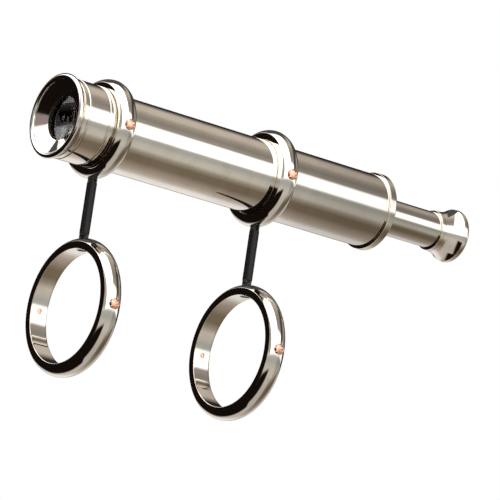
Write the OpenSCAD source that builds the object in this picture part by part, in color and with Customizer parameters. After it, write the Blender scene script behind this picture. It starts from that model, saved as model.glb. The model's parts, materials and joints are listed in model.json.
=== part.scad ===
// Small optical finder telescope, carried over a larger tube on two posts.
// Millimetres. X runs along the optical axis, with the objective at -X and
// the eye at +X, and Z is up. The origin is the centre of the front host ring.

/* [Layout] */
// Height of the finder's axis above the host tube's axis
axis_h = 90; // [84:1:120]
// Distance between the front pair and the rear pair of rings
ring_gap = 102; // [96:1:110]
// Front ring centre to the objective end
nose_l = 28; // [28:1:36]
// Front ring centre to the barrel's rear face
tail_l = 175; // [172:1:190]

/* [Rings] */
// Inside diameter of the two rings that go round the host tube
host_bore_d = 57.4; // [50:0.2:70]
// Width of every ring along the axis
ring_w = 10; // [8:0.5:11]
// Radial thickness of every ring
ring_t = 6; // [5:0.5:7]
// Radius of the ring's crowned outer face
ring_crown_r = 6.5; // [6:0.1:8]

/* [Posts and screws] */
// Diameter of the two threaded posts
post_d = 5; // [4:0.5:5.5]
// Thread diameter of the ring screws
screw_d = 3; // [2.5:0.5:3.5]
// Head diameter of the ring screws
screw_head_d = 5.2; // [5:0.1:6]
// Head height of the ring screws
screw_head_h = 2.2; // [2:0.1:3]

/* [Barrel] */
// Outside diameter of the barrel
barrel_d = 38; // [38:0.5:40]
// Wall of the barrel
barrel_wall = 1.2; // [1:0.1:1.4]
// How far the objective cell and the rear end ring stand proud of the barrel
step_h = 1.2; // [0.8:0.1:1.6]
// Diameter over the rolled lip at the front
lip_d = 43; // [42:0.5:45]

/* [Objective] */
// Diameter of the two objective lenses
lens_d = 26; // [24:0.5:26]
// Diameter of the opening in the dished front bezel
opening_d = 22.8; // [20:0.2:22.8]

/* [Draw tube and eyepiece] */
// Outside diameter of the draw tube
draw_d = 19; // [18:0.5:20]
// Wall of the draw tube
draw_wall = 0.9; // [0.7:0.1:1.1]
// Length from the barrel's rear face to the eye end
reach_l = 55; // [50:1:60]
// Diameter of the flared eye end
eye_d = 28; // [26:0.5:30]
// Diameter of the eye lens
eye_lens_d = 14; // [12:0.5:14]

/* [Hidden] */
$fn = 96;
lens_fn = 256;

// Fits between pieces
thread_gap = 0.05;
ring_gap_r = 0.1;
slide_gap = 0.05;
guide_gap = 0.3;

// Radii of the main pieces
host_r = host_bore_d / 2;
barrel_r = barrel_d / 2;
barrel_in_r = barrel_r - barrel_wall;
ring_bore_r = barrel_r + ring_gap_r;
cell_r = barrel_r + step_h;
draw_r = draw_d / 2;
draw_in_r = draw_r - draw_wall;
post_r = post_d / 2;

// Objective end, as places along X
nose_x = -nose_l;
lip_r = lip_d / 2;
lip_bead_r = 1.5;
dish_x = nose_x + 4.6;
flange_x = nose_x + 4;
seat_x = nose_x + 6.5;
pocket_x = nose_x + 13.4;
web_x = nose_x + 15;
cell_end_x = -ring_w / 2 - 0.6;
lens_r = lens_d / 2;
pocket_r = lens_r + 0.1;
opening_r = opening_d / 2;
spigot_r = 16;
cell_groove_r = 0.5;

// Objective lens surfaces
crown_x = seat_x + 0.2;
crown_edge = 2.4;
crown_front_r = 110;
crown_rear_r = 75;
spacer_x = crown_x + crown_edge + 0.2;
spacer_t = 0.6;
flint_x = spacer_x + spacer_t;
air_gap = 0.5;

// Glare stops inside the barrel
stop_t = 1;
stop_skirt_l = 6;
stop_skirt_t = 0.8;
front_stop_x = 28;
rear_stop_x = 66;
front_stop_hole_r = 10.6;
rear_stop_hole_r = 9.4;

// Rear end of the barrel
end_ring_l = 4.5;
end_spigot_l = 8.5;
bush_r = 12.5;
bush_l = 25;
bush_flange_r = 13.4;
bush_flange_t = 1.2;
bush_lip_l = 3;
felt_r = 10.3;

// Draw tube and what it carries
draw_front_x = tail_l - 57;
eye_x = tail_l + reach_l;
draw_rear_x = eye_x - 9;
stop_ring_l = 5;
stop_ring_r = barrel_in_r - guide_gap;
reticle_x = eye_x - 44;
reticle_l = 3;
reticle_in_r = 7.2;
wire_r = 0.1;
wire_l = 2 * reticle_in_r + 1.6;

// Eyepiece
sleeve_x = eye_x - 37;
sleeve_in_r = 7.7;
sleeve_out_r = draw_in_r - slide_gap;
field_seat_x = sleeve_x + 5.6;
field_seat_l = 1.2;
field_seat_r = 6.6;
field_edge = 1.6;
field_lens_r = 18;
retainer_l = 3.1;
shell_x = eye_x - 16;
shell_collar_r = draw_r + 1.1;
shell_collar_l = 2;
flare_r = 17.7;
rim_bead_r = 1.9;
eye_r = eye_d / 2;
eye_lens_r = eye_lens_d / 2;
eye_seat_x = eye_x - 7.6;
eye_flat_x = eye_seat_x + 2.15;
eye_edge = 1.4;
eye_curve_r = 13;
eye_ring_l = 1.6;
eye_ring_hole_r = 4.6;
eye_pocket_gap = 0.1;

// Height of a spherical surface over its rim
function sag(curve_r, rim_r) = curve_r - sqrt(curve_r * curve_r - rim_r * rim_r);

// Turns a profile, drawn as [radius, place along X], about the finder's axis
module turned(fn = $fn) {
    translate([0, 0, axis_h]) rotate([0, 90, 0]) rotate_extrude($fn = fn) children();
}

// A plain tube section from one place along X to another
module band(in_r, out_r, from_x, to_x) {
    translate([in_r, from_x]) square([out_r - in_r, to_x - from_x]);
}

// Ring with a crowned outer face, tapped for its post and its two side screws
module ring(x, z, bore_r, post_turn) {
    translate([x, 0, z]) difference() {
        rotate([0, 90, 0]) rotate_extrude() intersection() {
            translate([bore_r, -ring_w / 2]) square([ring_t, ring_w]);
            translate([bore_r + ring_t - ring_crown_r, 0]) circle(ring_crown_r);
        }
        rotate([post_turn, 0, 0]) translate([0, 0, bore_r / 2])
            cylinder(r = post_r + thread_gap, h = bore_r / 2 + 2 * ring_t);
        for (turn = [90, -90]) rotate([turn, 0, 0]) {
            translate([0, 0, bore_r / 2])
                cylinder(d = screw_d + 2 * thread_gap, h = bore_r / 2 + 2 * ring_t);
            translate([0, 0, bore_r + ring_t - screw_head_h / 2])
                cylinder(d = screw_head_d + 0.4, h = 2 * ring_t);
        }
    }
}

// The two side screws of one ring, each with a slotted head
module ring_screw_pair(x, z, bore_r, tip_gap) {
    head_z = bore_r + ring_t - screw_head_h / 2;
    slot_w = 0.8;
    translate([x, 0, z]) for (turn = [90, -90]) rotate([turn, 0, 0]) difference() {
        union() {
            translate([0, 0, bore_r + tip_gap])
                cylinder(d = screw_d, h = head_z - bore_r - tip_gap + 0.2);
            translate([0, 0, head_z]) cylinder(d = screw_head_d, h = screw_head_h);
        }
        translate([-screw_head_d, -slot_w / 2, head_z + screw_head_h * 0.55])
            cube([2 * screw_head_d, slot_w, screw_head_h]);
    }
}

// Threaded post between a host ring and a barrel ring
module post(x) {
    low = host_r + 0.4;
    high = axis_h - ring_bore_r - 0.4;
    tip = 0.5;
    translate([x, 0, 0]) rotate_extrude($fn = 48) polygon([
        [0, low], [post_r - tip, low], [post_r, low + tip],
        [post_r, high - tip], [post_r - tip, high], [0, high]
    ]);
}

// Glare stop: a thin wall with a hole, on a short skirt that grips the barrel
module glare_stop(x, hole_r) {
    out_r = barrel_in_r - 0.05;
    turned() {
        band(hole_r, out_r, x, x + stop_t);
        band(out_r - stop_skirt_t, out_r, x, x + stop_skirt_l);
    }
}

// Flat-and-convex lens with its flat side at x and its bulge toward side * X
module plano_lens(x, rim_r, edge, curve_r, side) {
    translate([x, 0, axis_h]) rotate([0, 90 * side, 0]) intersection() {
        cylinder(r = rim_r, h = edge + sag(curve_r, rim_r) + 1, $fn = lens_fn);
        translate([0, 0, edge + sag(curve_r, rim_r) - curve_r])
            sphere(curve_r, $fn = lens_fn);
    }
}

module front_bezel() color("gainsboro") turned() {
    // Rolled lip
    translate([lip_r - lip_bead_r, nose_x + lip_bead_r]) circle(lip_bead_r);
    // Dished face and threaded spigot
    polygon([
        [opening_r, dish_x], [lip_r - lip_bead_r, nose_x + 0.8],
        [lip_r - lip_bead_r, flange_x - 1], [cell_r - 0.8, flange_x - 1],
        [cell_r - 0.8, flange_x], [spigot_r, flange_x],
        [spigot_r, seat_x], [opening_r, seat_x]
    ]);
}

module objective_cell() color("silver") turned() difference() {
    polygon([
        [spigot_r, flange_x], [cell_r - 0.3, flange_x], [cell_r, flange_x + 0.3],
        [cell_r, cell_end_x - 0.3], [cell_r - 0.3, cell_end_x], [barrel_r, cell_end_x],
        [barrel_r, web_x], [lens_r - 1.1, web_x], [lens_r - 1.1, pocket_x],
        [pocket_r, pocket_x], [pocket_r, seat_x], [spigot_r, seat_x]
    ]);
    // Turned grooves near both ends
    for (x = [flange_x + 3, cell_end_x - 3])
        translate([cell_r + 0.1, x]) circle(cell_groove_r, $fn = 24);
}

module crown_lens() color("lightblue") translate([crown_x, 0, axis_h]) rotate([0, 90, 0])
    intersection() {
        front_sag = sag(crown_front_r, lens_r);
        rear_sag = sag(crown_rear_r, lens_r);
        translate([0, 0, -front_sag - 1])
            cylinder(r = lens_r, h = crown_edge + front_sag + rear_sag + 2, $fn = lens_fn);
        translate([0, 0, crown_front_r - front_sag]) sphere(crown_front_r, $fn = lens_fn);
        translate([0, 0, crown_edge + rear_sag - crown_rear_r])
            sphere(crown_rear_r, $fn = lens_fn);
    }

module lens_spacer() color("dimgray") turned()
    band(lens_r - 0.7, lens_r, spacer_x, flint_x);

module flint_lens() color("lightblue") translate([flint_x, 0, axis_h]) rotate([0, 90, 0])
    difference() {
        hollow_z = crown_x + crown_edge + sag(crown_rear_r, lens_r) + air_gap - flint_x;
        cylinder(r = lens_r, h = pocket_x - flint_x, $fn = lens_fn);
        translate([0, 0, hollow_z - crown_rear_r]) sphere(crown_rear_r, $fn = lens_fn);
    }

module main_barrel() color("lightgray") turned()
    band(barrel_in_r, barrel_r, web_x, tail_l - end_ring_l);

module front_glare_stop() color("black") glare_stop(front_stop_x, front_stop_hole_r);

module rear_glare_stop() color("black") glare_stop(rear_stop_x, rear_stop_hole_r);

module rear_end_ring() color("silver") turned() polygon([
    [bush_r, tail_l - end_ring_l - end_spigot_l],
    [barrel_in_r, tail_l - end_ring_l - end_spigot_l],
    [barrel_in_r, tail_l - end_ring_l], [cell_r, tail_l - end_ring_l],
    [cell_r, tail_l - 0.8], [cell_r - 0.8, tail_l], [bush_r, tail_l]
]);

module draw_guide_bush() color("darkkhaki") turned() {
    band(felt_r, bush_r, tail_l - bush_l, tail_l);
    band(draw_r + slide_gap, bush_r, tail_l - bush_lip_l, tail_l);
    band(draw_r + slide_gap, bush_flange_r, tail_l, tail_l + bush_flange_t);
}

module felt_lining() color("darkgreen") turned()
    band(draw_r + slide_gap, felt_r, tail_l - bush_l + 0.5, tail_l - bush_lip_l);

module front_barrel_ring() color("gainsboro") ring(0, axis_h, ring_bore_r, 180);

module rear_barrel_ring() color("gainsboro") ring(ring_gap, axis_h, ring_bore_r, 180);

module front_post() color("black") post(0);

module rear_post() color("black") post(ring_gap);

module front_host_ring() color("gainsboro") ring(0, 0, host_r, 0);

module rear_host_ring() color("gainsboro") ring(ring_gap, 0, host_r, 0);

module barrel_ring_screws() color("peru")
    for (x = [0, ring_gap]) ring_screw_pair(x, axis_h, ring_bore_r, -ring_gap_r / 2);

module host_ring_screws() color("peru")
    for (x = [0, ring_gap]) ring_screw_pair(x, 0, host_r, 0.4);

module draw_tube() color("silver") turned()
    band(draw_in_r, draw_r, draw_front_x, draw_rear_x);

module draw_stop_ring() color("darkkhaki") turned()
    band(draw_r, stop_ring_r, draw_front_x, draw_front_x + stop_ring_l);

module reticle_ring() color("dimgray") turned()
    band(reticle_in_r, draw_in_r, reticle_x, reticle_x + reticle_l);

module crosshair_wires() color("black")
    translate([reticle_x - 1.2 * wire_r, 0, axis_h]) for (i = [0, 1])
        translate([-2.4 * wire_r * i, 0, 0]) rotate([90 * i, 0, 0])
            cylinder(r = wire_r, h = wire_l, center = true, $fn = 16);

module eyepiece_sleeve() color("dimgray") turned() {
    band(sleeve_in_r, sleeve_out_r, sleeve_x, draw_rear_x);
    band(field_seat_r, sleeve_out_r, field_seat_x, field_seat_x + field_seat_l);
}

module field_lens() color("lightblue")
    plano_lens(field_seat_x, sleeve_in_r - 0.1, field_edge, field_lens_r, -1);

module field_lens_retainer() color("dimgray") turned()
    band(field_seat_r, sleeve_in_r, sleeve_x + 0.4, sleeve_x + 0.4 + retainer_l);

module eye_lens() color("lightblue")
    plano_lens(eye_flat_x, eye_lens_r, eye_edge, eye_curve_r, -1);

module eye_lens_retainer() color("dimgray") turned()
    band(eye_ring_hole_r, eye_lens_r + eye_pocket_gap, eye_flat_x, eye_flat_x + eye_ring_l);

module eyepiece_shell() color("silver") turned() difference() {
    union() {
        // Rolled rim
        translate([eye_r - rim_bead_r, eye_x - rim_bead_r]) circle(rim_bead_r);
        // Body over the end of the draw tube, with the eye lens pocket
        polygon([
            [draw_r + slide_gap, shell_x], [shell_collar_r, shell_x],
            [shell_collar_r, shell_x + shell_collar_l], [eye_r - 0.1, shell_x + shell_collar_l],
            [eye_r - 0.1, eye_x - rim_bead_r], [eye_r - rim_bead_r, eye_x - 0.5],
            [eye_lens_r + eye_pocket_gap, eye_x - 3.4],
            [eye_lens_r + eye_pocket_gap, eye_seat_x],
            [eye_lens_r - 1.2, eye_seat_x], [eye_lens_r - 1.2, draw_rear_x],
            [draw_r + slide_gap, draw_rear_x]
        ]);
    }
    // Hollow sweep of the flare
    translate([shell_collar_r + flare_r, shell_x + shell_collar_l]) circle(flare_r);
}

front_bezel();
objective_cell();
crown_lens();
lens_spacer();
flint_lens();
main_barrel();
front_glare_stop();
rear_glare_stop();
rear_end_ring();
draw_guide_bush();
felt_lining();
front_barrel_ring();
rear_barrel_ring();
front_post();
rear_post();
front_host_ring();
rear_host_ring();
barrel_ring_screws();
host_ring_screws();
draw_tube();
draw_stop_ring();
reticle_ring();
crosshair_wires();
eyepiece_sleeve();
field_lens();
field_lens_retainer();
eye_lens();
eye_lens_retainer();
eyepiece_shell();
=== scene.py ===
"""Looks of a small plated finder telescope, held by ringed posts over a larger tube."""

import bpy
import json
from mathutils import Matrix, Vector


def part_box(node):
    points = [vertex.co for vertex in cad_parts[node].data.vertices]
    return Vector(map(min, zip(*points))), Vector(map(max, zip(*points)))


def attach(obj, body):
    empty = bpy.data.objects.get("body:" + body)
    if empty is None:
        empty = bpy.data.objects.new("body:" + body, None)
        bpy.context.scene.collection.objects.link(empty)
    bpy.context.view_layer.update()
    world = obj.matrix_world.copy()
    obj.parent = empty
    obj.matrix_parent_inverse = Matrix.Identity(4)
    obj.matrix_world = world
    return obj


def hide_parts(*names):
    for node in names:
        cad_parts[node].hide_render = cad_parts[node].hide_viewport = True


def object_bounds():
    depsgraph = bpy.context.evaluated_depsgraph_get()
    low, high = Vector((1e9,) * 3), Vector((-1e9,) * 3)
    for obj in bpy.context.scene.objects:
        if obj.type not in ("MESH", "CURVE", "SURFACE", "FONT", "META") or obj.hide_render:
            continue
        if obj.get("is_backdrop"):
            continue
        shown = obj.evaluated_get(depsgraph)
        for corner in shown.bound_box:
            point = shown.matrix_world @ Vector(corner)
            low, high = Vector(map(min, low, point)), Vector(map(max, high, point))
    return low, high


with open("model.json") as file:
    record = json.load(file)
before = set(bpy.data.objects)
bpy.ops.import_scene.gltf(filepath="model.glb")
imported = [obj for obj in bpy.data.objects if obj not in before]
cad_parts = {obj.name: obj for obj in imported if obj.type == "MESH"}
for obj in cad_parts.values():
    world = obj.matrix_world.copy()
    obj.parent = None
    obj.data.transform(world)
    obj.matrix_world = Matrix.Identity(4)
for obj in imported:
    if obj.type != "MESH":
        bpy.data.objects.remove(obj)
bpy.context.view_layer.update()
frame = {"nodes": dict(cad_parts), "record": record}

import json
import math

import bmesh
import bpy
from mathutils import Matrix, Vector

# Lengths of profiles are in millimetres; Blender's own unit is the metre.
MM = 0.001
TURN_STEPS = 224
SMALL_TURN_STEPS = 64
EDGE_ROUND = 0.16
WEAR_SPREAD = 0.7
LONGEST_STEP = 6.0
SHARP_ANGLE = math.radians(38)


# ---------------------------------------------------------------- places from the frame

def ends(node):
    """A turned node's first and last place along X, and its largest radius, in mm."""
    low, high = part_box(node)
    return low.x / MM, high.x / MM, (high.y - low.y) / 2 / MM


def middle(node):
    """The centre of a node's box, in mm."""
    low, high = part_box(node)
    return (low + high) / 2 / MM


AXIS_Z = middle("main_barrel").z
HOST_Z = frame["record"]["mounts"][0]["pos_m"][2] / MM
NOSE_X, SPIGOT_END_X, LIP_R = ends("front_bezel")
CELL_X, CELL_END_X, CELL_R = ends("objective_cell")
BARREL_X, BARREL_END_X, BARREL_R = ends("main_barrel")
END_SPIGOT_X, TAIL_X, END_RING_R = ends("rear_end_ring")
BUSH_X, BUSH_END_X, BUSH_FLANGE_R = ends("draw_guide_bush")
DRAW_X, DRAW_END_X, DRAW_R = ends("draw_tube")
SHELL_X, EYE_X, EYE_R = ends("eyepiece_shell")
EYE_RING_X, EYE_RING_END_X, EYE_RING_R = ends("eye_lens_retainer")
RING_W = 2 * (ends("front_barrel_ring")[1] - middle("front_barrel_ring").x)
RING_T = -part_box("front_host_ring")[0].z / MM - frame["record"]["mounts"][0]["dims"]["r_mm"]
RING_CROWN_R = 6.5
BARREL_RING_BORE_R = BARREL_R + 0.1
HOST_RING_BORE_R = frame["record"]["mounts"][0]["dims"]["r_mm"]
POST_R = ends("front_post")[2]


# ---------------------------------------------------------------- outlines

def arc(centre_r, centre_x, radius, start, end, steps):
    """Points along an arc of an outline; angles in degrees, from +r towards +X."""
    points = []
    for i in range(steps + 1):
        turn = math.radians(start + (end - start) * i / steps)
        points.append((centre_r + radius * math.cos(turn), centre_x + radius * math.sin(turn)))
    return points


def corner_turn(before, here, after):
    """How far an outline turns at a point, in degrees; positive to the left."""
    first = math.atan2(here[1] - before[1], here[0] - before[0])
    second = math.atan2(after[1] - here[1], after[0] - here[0])
    return (math.degrees(second - first) + 180) % 360 - 180


def area_of(points):
    """Signed area of a closed outline."""
    pairs = zip(points, points[1:] + points[:1])
    return sum(a[0] * b[1] - b[0] * a[1] for a, b in pairs) / 2


def toward(here, there, length):
    """The point that lies a length away from here, on the way to there."""
    gap = math.dist(here, there)
    share = length / gap
    return (here[0] + (there[0] - here[0]) * share, here[1] + (there[1] - here[1]) * share)


def softened(points, radius=EDGE_ROUND, steps=4):
    """A closed outline with rounded corners, as (r, x, wear) points. Wear is 1 on outer edges."""
    outward = 1 if area_of(points) > 0 else -1
    made = []
    count = len(points)
    for i, here in enumerate(points):
        before, after = points[i - 1], points[(i + 1) % count]
        turn = corner_turn(before, here, after)
        room = min(math.dist(here, before), math.dist(here, after))
        cut = min(radius * math.tan(math.radians(min(abs(turn), 120)) / 2), 0.45 * room)
        if abs(turn) < 20 or cut < 0.01:
            made.append((*here, 0.0))
            continue
        wear = 1.0 if turn * outward > 0 else 0.0
        start, end = toward(here, before, cut), toward(here, after, cut)
        if math.dist(here, before) > 2.5 * (cut + WEAR_SPREAD):
            made.append((*toward(here, before, cut + WEAR_SPREAD), 0.0))
        for k in range(steps + 1):
            t = k / steps
            r = (1 - t) ** 2 * start[0] + 2 * t * (1 - t) * here[0] + t * t * end[0]
            x = (1 - t) ** 2 * start[1] + 2 * t * (1 - t) * here[1] + t * t * end[1]
            made.append((r, x, wear))
        if math.dist(here, after) > 2.5 * (cut + WEAR_SPREAD):
            made.append((*toward(here, after, cut + WEAR_SPREAD), 0.0))
    return subdivided(made)


def subdivided(points):
    """The same closed outline with no step longer than LONGEST_STEP."""
    made = []
    for here, there in zip(points, points[1:] + points[:1]):
        parts = max(1, math.ceil(math.dist(here[:2], there[:2]) / LONGEST_STEP))
        for k in range(parts):
            t = k / parts
            made.append(tuple(a + (b - a) * t for a, b in zip(here, there)))
    return made


# ---------------------------------------------------------------- meshes

def finished(name, bm, body, materials, nodes, inner=None):
    """Turns a bmesh in metres into a piece that rides on a body and stands for CAD nodes."""
    bmesh.ops.remove_doubles(bm, verts=bm.verts, dist=1e-7)
    bmesh.ops.recalc_face_normals(bm, faces=bm.faces)
    for face in bm.faces:
        face.smooth = True
        if inner and inner(face.calc_center_median() / MM):
            face.material_index = 1
    for edge in bm.edges:
        edge.smooth = edge.calc_face_angle(0.0) < SHARP_ANGLE
    mesh = bpy.data.meshes.new(name)
    bm.to_mesh(mesh)
    bm.free()
    for material in materials:
        mesh.materials.append(material)
    piece = bpy.data.objects.new(name, mesh)
    bpy.context.scene.collection.objects.link(piece)
    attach(piece, body)
    if nodes:
        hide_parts(*nodes)
    return piece


def spin(points, steps=TURN_STEPS):
    """A bmesh of an outline turned about X through the origin, in metres."""
    bm = bmesh.new()
    wear = bm.verts.layers.float.new("wear")
    rows = []
    for r, x, w in points:
        row = []
        for i in range(steps if r > 1e-6 else 1):
            turn = 2 * math.pi * i / steps
            vert = bm.verts.new((x * MM, r * math.cos(turn) * MM, r * math.sin(turn) * MM))
            vert[wear] = w
            row.append(vert)
        rows.append(row)
    for here, there in zip(rows, rows[1:] + rows[:1]):
        for i in range(steps):
            quad = [here[i % len(here)], here[(i + 1) % len(here)],
                    there[(i + 1) % len(there)], there[i % len(there)]]
            corners = list(dict.fromkeys(quad))
            if len(corners) > 2:
                bm.faces.new(corners)
    return bm


def placed(bm, x=0.0, z=0.0, turn=None):
    """Moves a bmesh by x and z in mm, after turning it."""
    move = Matrix.Translation((x * MM, 0, z * MM))
    bm.transform(move @ turn if turn else move)
    return bm


def cut(bm, cutters):
    """The bmesh less each cutter, by exact booleans."""
    target = object_of("cut_target", bm)
    for i, cutter in enumerate(cutters):
        tool = object_of(f"cut_tool_{i}", cutter)
        boolean = target.modifiers.new(f"cut_{i}", "BOOLEAN")
        boolean.operation = "DIFFERENCE"
        boolean.solver = "EXACT"
        boolean.object = tool
    graph = bpy.context.evaluated_depsgraph_get()
    result = bmesh.new()
    result.from_object(target, graph)
    for scratch in [m.object for m in target.modifiers] + [target]:
        mesh = scratch.data
        bpy.data.objects.remove(scratch)
        bpy.data.meshes.remove(mesh)
    return result


def object_of(name, bm):
    """A scratch object that holds a bmesh."""
    mesh = bpy.data.meshes.new(name)
    bm.to_mesh(mesh)
    bm.free()
    made = bpy.data.objects.new(name, mesh)
    bpy.context.scene.collection.objects.link(made)
    return made


def rod(radius, low, high, steps=SMALL_TURN_STEPS):
    """A plain rod along X, for cutting holes."""
    return spin([(0, low, 0), (radius, low, 0), (radius, high, 0), (0, high, 0)], steps)


def turned_piece(name, outline, body, materials, inner=None, soften=EDGE_ROUND):
    """A piece turned about the finder's axis that stands for the CAD node of its name."""
    bm = placed(spin(softened(outline, soften)), z=AXIS_Z)
    return finished(f"{name}_look", bm, body, materials, [name], inner)


# ---------------------------------------------------------------- material building blocks

def new_material(name):
    """A fresh node material, its tree and its main shader."""
    material = bpy.data.materials.new(name)
    material.use_nodes = True
    tree = material.node_tree
    return material, tree, tree.nodes["Principled BSDF"]


def feed(tree, socket, value):
    """Links a socket's value, or sets it."""
    if isinstance(value, bpy.types.NodeSocket):
        tree.links.new(value, socket)
    else:
        socket.default_value = value


def math_node(tree, operation, first, second=0.0, clamp=False):
    """One step of arithmetic on numbers or sockets."""
    node = tree.nodes.new("ShaderNodeMath")
    node.operation = operation
    node.use_clamp = clamp
    feed(tree, node.inputs[0], first)
    feed(tree, node.inputs[1], second)
    return node.outputs[0]


def separate(tree, vector):
    """A vector's x, y and z."""
    node = tree.nodes.new("ShaderNodeSeparateXYZ")
    feed(tree, node.inputs[0], vector)
    return node.outputs


def combine(tree, x, y, z):
    """A vector or colour from three numbers or sockets."""
    node = tree.nodes.new("ShaderNodeCombineXYZ")
    for socket, value in zip(node.inputs, (x, y, z)):
        feed(tree, socket, value)
    return node.outputs[0]


def place_mm(tree):
    """The place on the surface in the object's own frame, in millimetres."""
    coordinate = tree.nodes.new("ShaderNodeTexCoord")
    scale = tree.nodes.new("ShaderNodeVectorMath")
    scale.operation = "SCALE"
    feed(tree, scale.inputs[0], coordinate.outputs["Object"])
    scale.inputs["Scale"].default_value = 1 / MM
    return scale.outputs[0]


def turned_mm(tree, axis_z):
    """The place as (along X, radius, turn in radians) about an axis along X."""
    x, y, z = separate(tree, place_mm(tree))
    height = math_node(tree, "SUBTRACT", z, axis_z)
    radius = math_node(
        tree, "SQRT",
        math_node(tree, "ADD", math_node(tree, "MULTIPLY", y, y),
                  math_node(tree, "MULTIPLY", height, height)))
    return combine(tree, x, radius, math_node(tree, "ARCTAN2", height, y))


def stretched(tree, vector, factors):
    """A vector with each part multiplied by its own factor."""
    node = tree.nodes.new("ShaderNodeVectorMath")
    node.operation = "MULTIPLY"
    feed(tree, node.inputs[0], vector)
    node.inputs[1].default_value = factors
    return node.outputs[0]


def noise(tree, vector, scale, detail=4.0, roughness=0.55, distortion=0.0):
    """Fractal noise, about 0.5 on average."""
    node = tree.nodes.new("ShaderNodeTexNoise")
    feed(tree, node.inputs["Vector"], vector)
    node.inputs["Scale"].default_value = scale
    node.inputs["Detail"].default_value = detail
    node.inputs["Roughness"].default_value = roughness
    node.inputs["Distortion"].default_value = distortion
    return node.outputs["Fac"]


def remap(tree, value, low, high, out_low=0.0, out_high=1.0):
    """A value carried from one range to another with a smooth step."""
    node = tree.nodes.new("ShaderNodeMapRange")
    node.interpolation_type = "SMOOTHSTEP"
    feed(tree, node.inputs["Value"], value)
    for name, number in zip(("From Min", "From Max", "To Min", "To Max"),
                            (low, high, out_low, out_high)):
        node.inputs[name].default_value = number
    return node.outputs["Result"]


def mixed(tree, share, first, second, blend="MIX"):
    """Two colours mixed by a share."""
    node = tree.nodes.new("ShaderNodeMix")
    node.data_type = "RGBA"
    node.blend_type = blend
    feed(tree, node.inputs["Factor"], share)
    colours = [s for s in node.inputs if s.type == "RGBA"]
    for socket, colour in zip(colours, (first, second)):
        feed(tree, socket, colour if isinstance(colour, bpy.types.NodeSocket) else (*colour, 1))
    return next(s for s in node.outputs if s.type == "RGBA")


def bump(tree, shader, height, distance_mm, strength=1.0, below=None):
    """Adds relief of a height in mm to a shader, over an earlier bump if given."""
    node = tree.nodes.new("ShaderNodeBump")
    node.inputs["Strength"].default_value = strength
    node.inputs["Distance"].default_value = distance_mm * MM
    feed(tree, node.inputs["Height"], height)
    if below:
        feed(tree, node.inputs["Normal"], below)
    feed(tree, shader.inputs["Normal"], node.outputs[0])
    return node.outputs[0]


def edge_wear(tree, place):
    """Where handling has worn the outer edges, from the mesh's own wear values."""
    attribute = tree.nodes.new("ShaderNodeAttribute")
    attribute.attribute_name = "wear"
    patchy = remap(tree, noise(tree, place, 0.35, 5.0), 0.42, 0.62)
    return math_node(tree, "MULTIPLY", attribute.outputs["Fac"], patchy)


# ---------------------------------------------------------------- materials

def plated(name, axis_z, light, dull, roughness):
    """Polished warm nickel plate with buffing lines, haze and brass at worn edges."""
    material, tree, shader = new_material(name)
    place = place_mm(tree)
    turned = turned_mm(tree, axis_z)
    haze = remap(tree, noise(tree, place, 0.07, 6.0, 0.6, 0.4), 0.40, 0.72)
    lines = noise(tree, stretched(tree, turned, (5.0, 5.0, 0.9)), 1.0, 5.0, 0.7)
    specks = remap(tree, noise(tree, place, 1.4, 3.0), 0.66, 0.74)
    colour = mixed(tree, math_node(tree, "MULTIPLY", haze, 0.55), light, dull)
    colour = mixed(tree, math_node(tree, "MULTIPLY", specks, 0.25), colour, (0.42, 0.36, 0.28))
    worn = edge_wear(tree, place)
    colour = mixed(tree, math_node(tree, "MULTIPLY", worn, 0.55), colour, (0.72, 0.52, 0.28))
    feed(tree, shader.inputs["Base Color"], colour)
    shader.inputs["Metallic"].default_value = 1.0
    rough = math_node(tree, "ADD", remap(tree, lines, 0.35, 0.75, roughness, roughness + 0.04),
                      math_node(tree, "MULTIPLY", haze, 0.05))
    rough = math_node(tree, "ADD", rough, math_node(tree, "MULTIPLY", specks, 0.10))
    feed(tree, shader.inputs["Roughness"], rough)
    waves = bump(tree, shader, noise(tree, place, 0.055, 2.0), 0.05, 0.6)
    bump(tree, shader, lines, 0.0016, 0.6, waves)
    return material


def gloss_black():
    """Black enamel on steel, with a little orange peel, dust and bare steel at edges."""
    material, tree, shader = new_material("black_enamelled_steel")
    place = place_mm(tree)
    cloud = noise(tree, place, 0.3, 5.0)
    dust = remap(tree, noise(tree, place, 2.2, 4.0), 0.60, 0.72)
    colour = mixed(tree, cloud, (0.003, 0.003, 0.0035), (0.009, 0.008, 0.008))
    colour = mixed(tree, math_node(tree, "MULTIPLY", dust, 0.08), colour, (0.10, 0.09, 0.08))
    worn = edge_wear(tree, place)
    colour = mixed(tree, worn, colour, (0.20, 0.18, 0.16))
    feed(tree, shader.inputs["Base Color"], colour)
    feed(tree, shader.inputs["Metallic"], math_node(tree, "MULTIPLY", worn, 0.9))
    feed(tree, shader.inputs["Roughness"], remap(tree, cloud, 0.3, 0.7, 0.22, 0.34))
    shader.inputs["Specular IOR Level"].default_value = 0.22
    bump(tree, shader, noise(tree, place, 1.1, 3.0), 0.02, 0.5)
    return material


def matt_black(axis_z):
    """Dead black inside finish with fine turned ridges."""
    material, tree, shader = new_material("anti_glare_black")
    turned = turned_mm(tree, axis_z)
    ridges = noise(tree, stretched(tree, turned, (3.0, 3.0, 0.2)), 1.0, 2.0)
    cloud = noise(tree, place_mm(tree), 0.5, 4.0)
    feed(tree, shader.inputs["Base Color"],
         mixed(tree, cloud, (0.006, 0.006, 0.006), (0.020, 0.018, 0.016)))
    feed(tree, shader.inputs["Roughness"], remap(tree, cloud, 0.3, 0.7, 0.70, 0.90))
    shader.inputs["Specular IOR Level"].default_value = 0.25
    bump(tree, shader, ridges, 0.06, 0.8)
    return material


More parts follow.
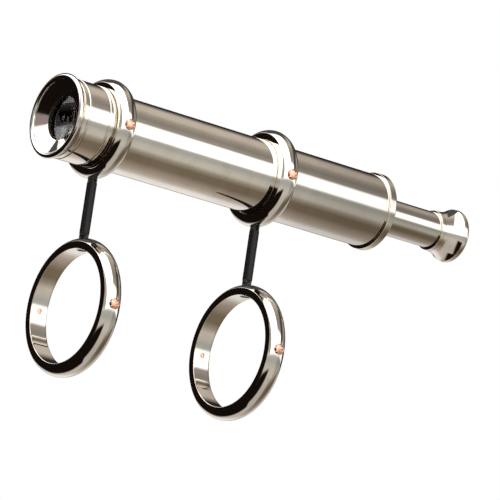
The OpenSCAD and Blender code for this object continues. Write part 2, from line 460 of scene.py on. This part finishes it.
def bare_brass(name, axis_z, bright, dark, roughness):
    """Turned brass or copper-rich brass with tool lines and tarnish."""
    material, tree, shader = new_material(name)
    place = place_mm(tree)
    turned = turned_mm(tree, axis_z)
    lines = noise(tree, stretched(tree, turned, (6.0, 6.0, 0.5)), 1.0, 4.0, 0.65)
    tarnish = remap(tree, noise(tree, place, 0.45, 6.0, 0.6), 0.42, 0.70)
    colour = mixed(tree, tarnish, bright, dark)
    worn = edge_wear(tree, place)
    brighter = tuple(min(1.0, c * 1.12) for c in bright)
    feed(tree, shader.inputs["Base Color"], mixed(tree, worn, colour, brighter))
    shader.inputs["Metallic"].default_value = 1.0
    rough = math_node(tree, "ADD", remap(tree, lines, 0.3, 0.7, roughness, roughness + 0.1),
                      math_node(tree, "MULTIPLY", tarnish, 0.16))
    feed(tree, shader.inputs["Roughness"], rough)
    bump(tree, shader, lines, 0.006, 0.7)
    return material


def coated_glass():
    """Clear lens glass with a thin old coating and a little dust."""
    material, tree, shader = new_material("lens_glass_clear")
    place = place_mm(tree)
    dust = remap(tree, noise(tree, place, 1.1, 5.0), 0.70, 0.80)
    film = noise(tree, place, 0.12, 3.0)
    feed(tree, shader.inputs["Base Color"],
         mixed(tree, film, (0.93, 0.97, 0.98), (0.97, 0.98, 0.95)))
    feed(tree, shader.inputs["Roughness"],
         math_node(tree, "MULTIPLY", dust, 0.12))
    shader.inputs["Transmission Weight"].default_value = 1.0
    shader.inputs["Specular IOR Level"].default_value = 0.2
    shader.inputs["IOR"].default_value = 1.52
    bump(tree, shader, film, 0.002, 0.2)
    return material


def wire_steel():
    """Blackened hair wire."""
    material, tree, shader = new_material("blackened_hair_wire")
    grain = noise(tree, place_mm(tree), 3.0, 3.0)
    feed(tree, shader.inputs["Base Color"],
         mixed(tree, grain, (0.05, 0.05, 0.05), (0.12, 0.11, 0.10)))
    shader.inputs["Metallic"].default_value = 1.0
    feed(tree, shader.inputs["Roughness"], remap(tree, grain, 0.3, 0.7, 0.35, 0.55))
    return material


def felt():
    """Short green felt with a matted nap."""
    material, tree, shader = new_material("matted_green_felt")
    place = place_mm(tree)
    fibres = noise(tree, place, 2.6, 8.0, 0.75, 1.2)
    patches = noise(tree, place, 0.35, 4.0)
    colour = mixed(tree, fibres, (0.018, 0.075, 0.038), (0.075, 0.21, 0.12))
    colour = mixed(tree, math_node(tree, "MULTIPLY", patches, 0.4), colour, (0.10, 0.15, 0.08))
    feed(tree, shader.inputs["Base Color"], colour)
    feed(tree, shader.inputs["Roughness"], remap(tree, fibres, 0.3, 0.7, 0.85, 1.0))
    shader.inputs["Sheen Weight"].default_value = 0.5
    bump(tree, shader, fibres, 0.25, 0.9)
    return material


NICKEL_LIGHT = (0.86, 0.835, 0.795)
NICKEL_DULL = (0.72, 0.675, 0.61)
NICKEL = plated("nickel_plate_polished", AXIS_Z, NICKEL_LIGHT, NICKEL_DULL, 0.02)
HOST_NICKEL = plated("nickel_plate_host_rings", HOST_Z, NICKEL_LIGHT, NICKEL_DULL, 0.03)
STEEL_BLACK = gloss_black()
INSIDE_BLACK = matt_black(AXIS_Z)
SCREW_BRASS = bare_brass("screw_brass_polished", AXIS_Z, (0.90, 0.50, 0.36), (0.60, 0.32, 0.22), 0.16)
INNER_BRASS = bare_brass("inner_brass_turned", AXIS_Z, (0.80, 0.62, 0.32), (0.46, 0.33, 0.16), 0.22)
GLASS = coated_glass()
WIRE = wire_steel()
FELT = felt()


# ---------------------------------------------------------------- objective end

LIP_BEAD_R = 1.5
OPENING_R = 11.4
OPENING_DEPTH = 4.6
BEZEL_NECK_R = CELL_R - 0.8
SPIGOT_R = 16.0
LENS_R = ends("crown_lens")[2]
WEB_X = BARREL_X
LENS_STOP_X = ends("flint_lens")[1]


def front_bezel():
    """Dished face between the opening and a rolled lip, on a spigot in the cell."""
    bead_r, bead_x = LIP_R - LIP_BEAD_R, NOSE_X + LIP_BEAD_R
    outline = [(OPENING_R, NOSE_X + OPENING_DEPTH)]
    outline += arc(bead_r, bead_x, LIP_BEAD_R, 181.5, 450, 28)
    outline += [
        (BEZEL_NECK_R, CELL_X - 1), (BEZEL_NECK_R, CELL_X),
        (SPIGOT_R, CELL_X), (SPIGOT_R, SPIGOT_END_X), (OPENING_R, SPIGOT_END_X),
    ]
    turned_piece("front_bezel", outline, "root", [NICKEL, INSIDE_BLACK],
                 lambda p: math.hypot(p.y, p.z - AXIS_Z) < OPENING_R + 0.05)


def objective_cell():
    """Stepped collar that holds the two front lenses, with a turned groove at each end."""
    groove_r = 0.5
    outline = [(SPIGOT_R, CELL_X), (CELL_R - 0.3, CELL_X), (CELL_R, CELL_X + 0.3)]
    for x in (CELL_X + 3, CELL_END_X - 3):
        half = math.degrees(math.acos(0.1 / groove_r))
        outline += arc(CELL_R + 0.1, x, groove_r, 270 - (90 - half), 90 + (90 - half), 10)
    outline += [
        (CELL_R, CELL_END_X - 0.3), (CELL_R - 0.3, CELL_END_X), (BARREL_R, CELL_END_X),
        (BARREL_R, WEB_X), (LENS_R - 1.1, WEB_X), (LENS_R - 1.1, LENS_STOP_X),
        (LENS_R + 0.1, LENS_STOP_X), (LENS_R + 0.1, SPIGOT_END_X), (SPIGOT_R, SPIGOT_END_X),
    ]
    turned_piece("objective_cell", outline, "root", [NICKEL, INSIDE_BLACK],
                 lambda p: math.hypot(p.y, p.z - AXIS_Z) < BARREL_R - 0.3)


# ---------------------------------------------------------------- barrel and its rear end

BARREL_IN_R = BARREL_R - 1.2
BUSH_R = 12.5


def main_barrel():
    """Seamless tube, plated outside and black inside."""
    outline = [(BARREL_IN_R, BARREL_X), (BARREL_R, BARREL_X),
               (BARREL_R, BARREL_END_X), (BARREL_IN_R, BARREL_END_X)]
    turned_piece("main_barrel", outline, "root", [NICKEL, INSIDE_BLACK],
                 lambda p: math.hypot(p.y, p.z - AXIS_Z) < BARREL_R - 0.3)


def rear_end_ring():
    """Chamfered end ring with a turned line round its rear face."""
    line_r, line_d = (END_RING_R + BUSH_FLANGE_R) / 2, 0.25
    outline = [
        (BUSH_R, END_SPIGOT_X), (BARREL_IN_R, END_SPIGOT_X), (BARREL_IN_R, BARREL_END_X),
        (END_RING_R, BARREL_END_X), (END_RING_R, TAIL_X - 0.8), (END_RING_R - 0.8, TAIL_X),
        (line_r + line_d, TAIL_X), (line_r, TAIL_X - line_d), (line_r - line_d, TAIL_X),
        (BUSH_R, TAIL_X),
    ]
    turned_piece("rear_end_ring", outline, "root", [NICKEL, INSIDE_BLACK],
                 lambda p: math.hypot(p.y, p.z - AXIS_Z) < BARREL_R - 0.3
                 and p.x < BARREL_END_X + 0.5)


def draw_guide_bush():
    """Brass bush that guides the draw tube, with its flange on the rear face."""
    felt_r, hole_r, lip_l = 10.3, DRAW_R + 0.05, 3.0
    outline = [
        (felt_r, BUSH_X), (BUSH_R, BUSH_X), (BUSH_R, TAIL_X), (BUSH_FLANGE_R, TAIL_X),
        (BUSH_FLANGE_R, BUSH_END_X), (hole_r, BUSH_END_X), (hole_r, TAIL_X - lip_l),
        (felt_r, TAIL_X - lip_l),
    ]
    turned_piece("draw_guide_bush", outline, "root", [INNER_BRASS], soften=0.25)


# ---------------------------------------------------------------- rings, screws and posts

HEAD_R, HEAD_H, HEAD_SUNK = 2.6, 2.2, 1.1
SHANK_R, SLOT_W = 1.5, 0.8
TO_SIDES = {"near": Matrix.Rotation(math.radians(-90), 4, "Z"),
            "far": Matrix.Rotation(math.radians(90), 4, "Z")}


def ring(node, bore_r, z, post_turn, material):
    """Crowned ring with a spotface and hole on each side and a hole for its post."""
    x = middle(node).x
    half = RING_W / 2
    crown_centre = bore_r + RING_T - RING_CROWN_R
    lean = math.degrees(math.asin(half / RING_CROWN_R))
    outline = [(bore_r, half), (bore_r, -half)]
    outline += arc(crown_centre, 0, RING_CROWN_R, -lean, lean, 28)
    bm = spin(softened(outline, 0.3), TURN_STEPS)
    outer = bore_r + RING_T
    cutters = [placed(rod(POST_R + 0.05, bore_r / 2, outer + 2), turn=post_turn)]
    for turn in TO_SIDES.values():
        cutters.append(placed(rod(SHANK_R + 0.05, bore_r / 2, outer + 2), turn=turn))
        cutters.append(placed(rod(HEAD_R + 0.2, outer - HEAD_SUNK, outer + 2), turn=turn))
    bm = placed(cut(bm, cutters), x, z)
    piece = finished(f"{node}_look", bm, "root", [material], [node])
    # The tube that fills a host ring isn't modelled, so the barrel mirrors the room's strips
    # there, not an empty ring.
    piece.visible_glossy = material != HOST_NICKEL


def ring_screw(name, node, x, z, bore_r, side, tip_gap):
    """Slotted screw whose domed head stands in its ring's spotface."""
    head = bore_r + RING_T - HEAD_SUNK
    top = head + HEAD_H
    dome = [(0, top), (HEAD_R * 0.55, top - 0.06), (HEAD_R - 0.25, top - 0.3)]
    outline = [(0, bore_r + tip_gap), (SHANK_R, bore_r + tip_gap), (SHANK_R, head),
               (HEAD_R, head), (HEAD_R, top - 0.65)] + dome[::-1]
    bm = spin(softened(outline, 0.12), SMALL_TURN_STEPS)
    blade = bmesh.new()
    bmesh.ops.create_cube(blade, size=1.0)
    slot_floor = head + HEAD_H * 0.55
    size = Matrix.Diagonal((HEAD_H * MM, 4 * HEAD_R * MM, SLOT_W * MM, 1))
    turn = Matrix.Rotation(math.radians(35 if side == "near" else -20), 4, "X")
    blade.transform(turn @ Matrix.Translation(((slot_floor + HEAD_H / 2) * MM, 0, 0)) @ size)
    bm = placed(placed(cut(bm, [blade]), turn=TO_SIDES[side]), x, z)
    piece = finished(name, bm, "root", [SCREW_BRASS], [node])
    piece.visible_glossy = node == "barrel_ring_screws"


def post(node):
    """Black rod with a rolled thread at each end that screws into the rings."""
    low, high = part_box(node)
    low_z, high_z = low.z / MM, high.z / MM
    pitch, depth, thread_l, steps = 0.8, 0.38, 8.2, 48
    rows_per_turn = 8
    levels = [low_z, low_z + 0.5]
    step = pitch / rows_per_turn
    count = int(thread_l / step)
    levels += [low_z + 0.5 + step * (k + 1) for k in range(count)]
    levels += [high_z - 0.5 - step * (count - k) for k in range(count)]
    levels += [high_z - 0.5, high_z]
    bm = bmesh.new()
    wear = bm.verts.layers.float.new("wear")
    rows = []
    for z in levels:
        end = min(z - low_z, high_z - z)
        fade = min(1.0, max(0.0, (thread_l - end) / pitch)) * min(1.0, end / pitch)
        row = []
        for i in range(steps):
            share = i / steps
            phase = (z / pitch - share) % 1.0
            groove = depth * abs(2 * phase - 1) * fade
            r = POST_R - groove - (0.5 if end < 0.25 else 0.0)
            turn = 2 * math.pi * share
            vert = bm.verts.new((r * math.cos(turn) * MM, r * math.sin(turn) * MM, z * MM))
            vert[wear] = fade * (1.0 - groove / depth) if fade > 0.5 else 0.0
            row.append(vert)
        rows.append(row)
    for here, there in zip(rows, rows[1:]):
        for i in range(steps):
            j = (i + 1) % steps
            bm.faces.new((here[i], here[j], there[j], there[i]))
    bm.faces.new(rows[0][::-1])
    bm.faces.new(rows[-1])
    placed(bm, x=middle(node).x)
    finished(f"{node}_look", bm, "root", [STEEL_BLACK], [node])


def mounting():
    """The four rings, their eight side screws and the two posts."""
    up = Matrix.Rotation(math.radians(-90), 4, "Y")
    down = Matrix.Rotation(math.radians(90), 4, "Y")
    for end in ("front", "rear"):
        ring(f"{end}_barrel_ring", BARREL_RING_BORE_R, AXIS_Z, down, NICKEL)
        ring(f"{end}_host_ring", HOST_RING_BORE_R, HOST_Z, up, HOST_NICKEL)
        post(f"{end}_post")
        x = middle(f"{end}_host_ring").x
        for side in TO_SIDES:
            ring_screw(f"barrel_ring_screw_{end}_{side}", "barrel_ring_screws", x, AXIS_Z,
                       BARREL_RING_BORE_R, side, -0.05)
            ring_screw(f"host_ring_screw_{end}_{side}", "host_ring_screws", x, HOST_Z,
                       HOST_RING_BORE_R, side, 0.4)


# ---------------------------------------------------------------- draw tube and eyepiece

DRAW_IN_R = DRAW_R - 0.9
RIM_BEAD_R = 1.9
FLARE_R = 17.7
COLLAR_R = DRAW_R + 1.1
COLLAR_L = 2.0
EYE_POCKET_R = EYE_RING_R
EYE_SEAT_X = EYE_X - 7.6


def draw_tube():
    """Plated tube that slides in the bush and carries the eyepiece."""
    outline = [(DRAW_IN_R, DRAW_X), (DRAW_R, DRAW_X), (DRAW_R, DRAW_END_X), (DRAW_IN_R, DRAW_END_X)]
    turned_piece("draw_tube", outline, "draw", [NICKEL, INSIDE_BLACK],
                 lambda p: math.hypot(p.y, p.z - AXIS_Z) < DRAW_R - 0.2)


def eyepiece_shell():
    """Flared eye end with a collar, a rolled rim and a dish round the eye lens."""
    flare_x = SHELL_X + COLLAR_L
    rim_r, rim_x = EYE_R - RIM_BEAD_R, EYE_X - RIM_BEAD_R
    centre_r = COLLAR_R + FLARE_R
    reach = math.degrees(math.acos((centre_r - (EYE_R - 0.1)) / FLARE_R))
    outline = [(DRAW_R + 0.05, SHELL_X), (COLLAR_R, SHELL_X)]
    outline += arc(centre_r, flare_x, FLARE_R, 180, 180 - reach, 20)
    outline += arc(rim_r, rim_x, RIM_BEAD_R, 0, 90, 10)
    outline += [
        (rim_r - 0.4, EYE_X - 0.12), (EYE_POCKET_R, EYE_X - 3.4), (EYE_POCKET_R, EYE_SEAT_X),
        (EYE_POCKET_R - 1.3, EYE_SEAT_X), (EYE_POCKET_R - 1.3, DRAW_END_X),
        (DRAW_R + 0.05, DRAW_END_X),
    ]
    turned_piece("eyepiece_shell", outline, "draw", [NICKEL, INSIDE_BLACK],
                 lambda p: math.hypot(p.y, p.z - AXIS_Z) < EYE_POCKET_R + 0.05)


def eye_lens_retainer():
    """Black ring that holds the eye lens."""
    hole_r = 4.6
    outline = [(hole_r, EYE_RING_X), (EYE_RING_R, EYE_RING_X),
               (EYE_RING_R, EYE_RING_END_X), (hole_r, EYE_RING_END_X)]
    turned_piece("eye_lens_retainer", outline, "draw", [INSIDE_BLACK])


def dress_cad_nodes():
    """Gives the nodes that keep their CAD shape their finishes."""
    finishes = {
        "crown_lens": GLASS, "flint_lens": GLASS, "field_lens": GLASS, "eye_lens": GLASS,
        "lens_spacer": INSIDE_BLACK, "front_glare_stop": INSIDE_BLACK,
        "rear_glare_stop": INSIDE_BLACK, "reticle_ring": INSIDE_BLACK,
        "eyepiece_sleeve": INSIDE_BLACK, "field_lens_retainer": INSIDE_BLACK,
        "draw_stop_ring": INNER_BRASS, "crosshair_wires": WIRE, "felt_lining": FELT,
    }
    for node, material in finishes.items():
        mesh = frame["nodes"][node].data
        mesh.materials.clear()
        mesh.materials.append(material)


# ---------------------------------------------------------------- studio

# The room as seen in the polished tubes: strips along the tube's axis, by their angle about
# that axis in degrees, from -Y (0) over the top (90) and under it (-90).
STRIPS = (
    (-180, (0.60, 0.56, 0.52)),
    (-165, (0.92, 0.89, 0.85)),
    (-140, (0.88, 0.84, 0.80)),
    (-124, (0.55, 0.49, 0.43)),
    (-108, (0.41, 0.34, 0.28)),
    (-92, (0.31, 0.25, 0.19)),
    (-78, (0.20, 0.155, 0.11)),
    (-58, (0.19, 0.150, 0.10)),
    (-46, (0.33, 0.285, 0.225)),
    (-34, (0.60, 0.55, 0.47)),
    (-22, (0.56, 0.53, 0.47)),
    (-10, (0.43, 0.42, 0.38)),
    (-2, (0.47, 0.47, 0.43)),
    (6, (1.9, 1.9, 1.84)),
    (34, (1.9, 1.88, 1.84)),
    (42, (0.38, 0.34, 0.30)),
    (58, (0.28, 0.245, 0.21)),
    (74, (0.38, 0.33, 0.28)),
    (90, (0.60, 0.53, 0.45)),
    (110, (0.58, 0.51, 0.43)),
    (121, (0.28, 0.24, 0.21)),
    (133, (0.030, 0.026, 0.024)),
    (172, (0.030, 0.026, 0.024)),
)


# Colours of the plain fields that lie over the strips.
FIELD_AHEAD = (0.34, 0.27, 0.275)
FIELD_CARD = (2.1, 2.08, 2.04)
FIELD_UNDER = (0.62, 0.57, 0.52)
FIELD_BLACK = (0.008, 0.005, 0.004)
FIELD_RIGHT = (0.060, 0.052, 0.048)
FIELD_ARCH = (0.085, 0.077, 0.072)
FIELD_BEHIND = (0.42, 0.40, 0.37)


def rising(tree, value, low, high):
    """0 below low and 1 above high, with a soft edge between."""
    return remap(tree, value, low, high)


def falling(tree, value, low, high):
    """1 below low and 0 above high, with a soft edge between."""
    return remap(tree, value, low, high, 1.0, 0.0)


def overlap(tree, first, *others):
    """Where soft-edged fields overlap."""
    for other in others:
        first = math_node(tree, "MULTIPLY", first, other)
    return first


def strips_of_room(tree, y, z):
    """The strips' colour, by the angle of a direction about the tube's axis."""
    turn = math_node(tree, "ARCTAN2", z, math_node(tree, "MULTIPLY", y, -1.0))
    share = math_node(tree, "ADD", math_node(tree, "MULTIPLY", turn, 1 / (2 * math.pi)), 0.5)
    strips = tree.nodes.new("ShaderNodeValToRGB")
    feed(tree, strips.inputs["Fac"], share)
    elements = strips.color_ramp.elements
    while len(elements) < len(STRIPS):
        elements.new(0.5)
    for element, (angle, colour) in zip(elements, STRIPS):
        element.position = (angle + 180) / 360
        element.color = (*colour, 1)
    return strips.outputs["Color"]


def pale_fields(tree, x, y, z, colour):
    """Adds the lighter fields: low x is ahead of the objective, and y > 0 beyond the finder."""
    farther = remap(tree, x, 0.575, 0.60, 1.0, 0.70)
    colour = mixed(tree, 1.0, colour, combine(tree, farther, farther, farther), "MULTIPLY")
    ahead = falling(tree, x, 0.10, 0.20)
    wall = overlap(tree, ahead, rising(tree, y, -0.06, 0.06))
    colour = mixed(tree, wall, colour, FIELD_AHEAD)
    card = overlap(tree, ahead, rising(tree, z, 0.32, 0.40))
    colour = mixed(tree, card, colour, FIELD_CARD)
    under = overlap(tree, rising(tree, x, -0.30, -0.20), falling(tree, x, 0.34, 0.46),
                    remap(tree, z, -0.70, -0.50, 0.7, 0.0))
    return mixed(tree, under, colour, FIELD_UNDER)


def dark_fields(tree, x, y, z, colour):
    """Adds the black wall and floor ahead, and the flags that outline the rings."""
    wall_top = math_node(tree, "SUBTRACT", z, remap(tree, y, 0.45, 0.60, 0.10, 0.27))
    wall = overlap(tree, rising(tree, y, -0.06, 0.06), falling(tree, wall_top, -0.03, 0.03))
    wall_or_floor = math_node(tree, "MAXIMUM", wall, falling(tree, z, -0.44, -0.32))
    edge = math_node(tree, "SUBTRACT", x, remap(tree, y, -0.10, 0.10, -0.26, 0.02))
    shade = overlap(tree, falling(tree, edge, -0.06, 0.06), wall_or_floor)
    colour = mixed(tree, shade, colour, FIELD_BLACK)
    right = overlap(tree, rising(tree, x, 0.64, 0.68), falling(tree, x, 0.80, 0.88),
                    rising(tree, z, 0.02, 0.20))
    colour = mixed(tree, right, colour, FIELD_RIGHT)
    arch = overlap(tree, falling(tree, x, 0.44, 0.52),
                   rising(tree, math_node(tree, "ADD", x, y), 0.40, 0.48),
                   rising(tree, z, 0.30, 0.40))
    colour = mixed(tree, arch, colour, FIELD_ARCH)
    behind = overlap(tree, falling(tree, x, -0.70, -0.64), falling(tree, y, -0.10, 0.06),
                     rising(tree, z, -0.10, 0.10))
    return mixed(tree, behind, colour, FIELD_BEHIND)


def studio_room():
    """World light: strips along the tube with fields over them, and plain white behind."""
    world = bpy.data.worlds.new("studio_room")
    bpy.context.scene.world = world
    world.use_nodes = True
    tree = world.node_tree
    coordinate = tree.nodes.new("ShaderNodeTexCoord")
    x, y, z = separate(tree, coordinate.outputs["Generated"])
    colour = pale_fields(tree, x, y, z, strips_of_room(tree, y, z))
    colour = dark_fields(tree, x, y, z, colour)
    rays = tree.nodes.new("ShaderNodeLightPath")
    colour = mixed(tree, rays.outputs["Is Camera Ray"], colour, (1.0, 1.0, 1.0))
    feed(tree, tree.nodes["Background"].inputs["Color"], colour)


FLOOR_DROP = 1.32


def studio_floor():
    """Plain pale floor, as far below the finder as it stands on its telescope."""
    bm = bmesh.new()
    bmesh.ops.create_circle(bm, cap_ends=True, segments=96, radius=9.0)
    floor = object_of("studio_floor", bm)
    floor.location = (0, 0, -FLOOR_DROP)
    material, tree, shader = new_material("pale_floor")
    grain = noise(tree, place_mm(tree), 0.01, 3.0)
    feed(tree, shader.inputs["Base Color"],
         mixed(tree, grain, (0.86, 0.85, 0.84), (0.90, 0.895, 0.885)))
    feed(tree, shader.inputs["Roughness"], remap(tree, grain, 0.3, 0.7, 0.75, 0.9))
    floor.data.materials.append(material)
    floor.visible_glossy = False
    floor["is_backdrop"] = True


def soft_light(name, place, aim, size, power):
    """A large soft lamp that the polished metal doesn't mirror."""
    data = bpy.data.lights.new(name, "AREA")
    data.shape = "SQUARE"
    data.size = size
    data.energy = power
    lamp = bpy.data.objects.new(name, data)
    lamp.location = place
    lamp.rotation_mode = "QUATERNION"
    lamp.rotation_quaternion = (Vector(aim) - Vector(place)).to_track_quat("-Z", "Y")
    lamp.visible_glossy = False
    lamp.visible_camera = False
    bpy.context.scene.collection.objects.link(lamp)


CAMERA_AZIMUTH = -36.5
CAMERA_ELEVATION = -11.0
CAMERA_ROLL = 8.3
CAMERA_DISTANCE = 2.15
CAMERA_LENS = 308.0


def camera():
    """Long lens from the objective's side and a little below, rolled with the stand's lean."""
    low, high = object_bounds()
    centre = (low + high) / 2 + Vector((0.0, 0.0, 0.0125))
    azimuth, elevation = math.radians(CAMERA_AZIMUTH), math.radians(CAMERA_ELEVATION)
    back = Vector((math.sin(azimuth) * math.cos(elevation),
                   -math.cos(azimuth) * math.cos(elevation), math.sin(elevation)))
    data = bpy.data.cameras.new("camera")
    data.lens = CAMERA_LENS
    data.sensor_width = 36.0
    data.clip_start, data.clip_end = 0.05, 60.0
    made = bpy.data.objects.new("camera", data)
    made.location = centre + back * CAMERA_DISTANCE
    facing = (-back).to_track_quat("-Z", "Y").to_matrix().to_4x4()
    made.matrix_world = (Matrix.Translation(made.location) @ facing
                         @ Matrix.Rotation(math.radians(CAMERA_ROLL), 4, "Z"))
    bpy.context.scene.collection.objects.link(made)
    bpy.context.scene.camera = made


front_bezel()
objective_cell()
main_barrel()
rear_end_ring()
draw_guide_bush()
mounting()
draw_tube()
eyepiece_shell()
eye_lens_retainer()
dress_cad_nodes()
studio_room()
studio_floor()
soft_light("overhead_softbox", (-0.4, -1.2, 1.9), (0, 0, -0.2), 2.4, 60)
camera()
bpy.context.scene.view_settings.view_transform = "Standard"
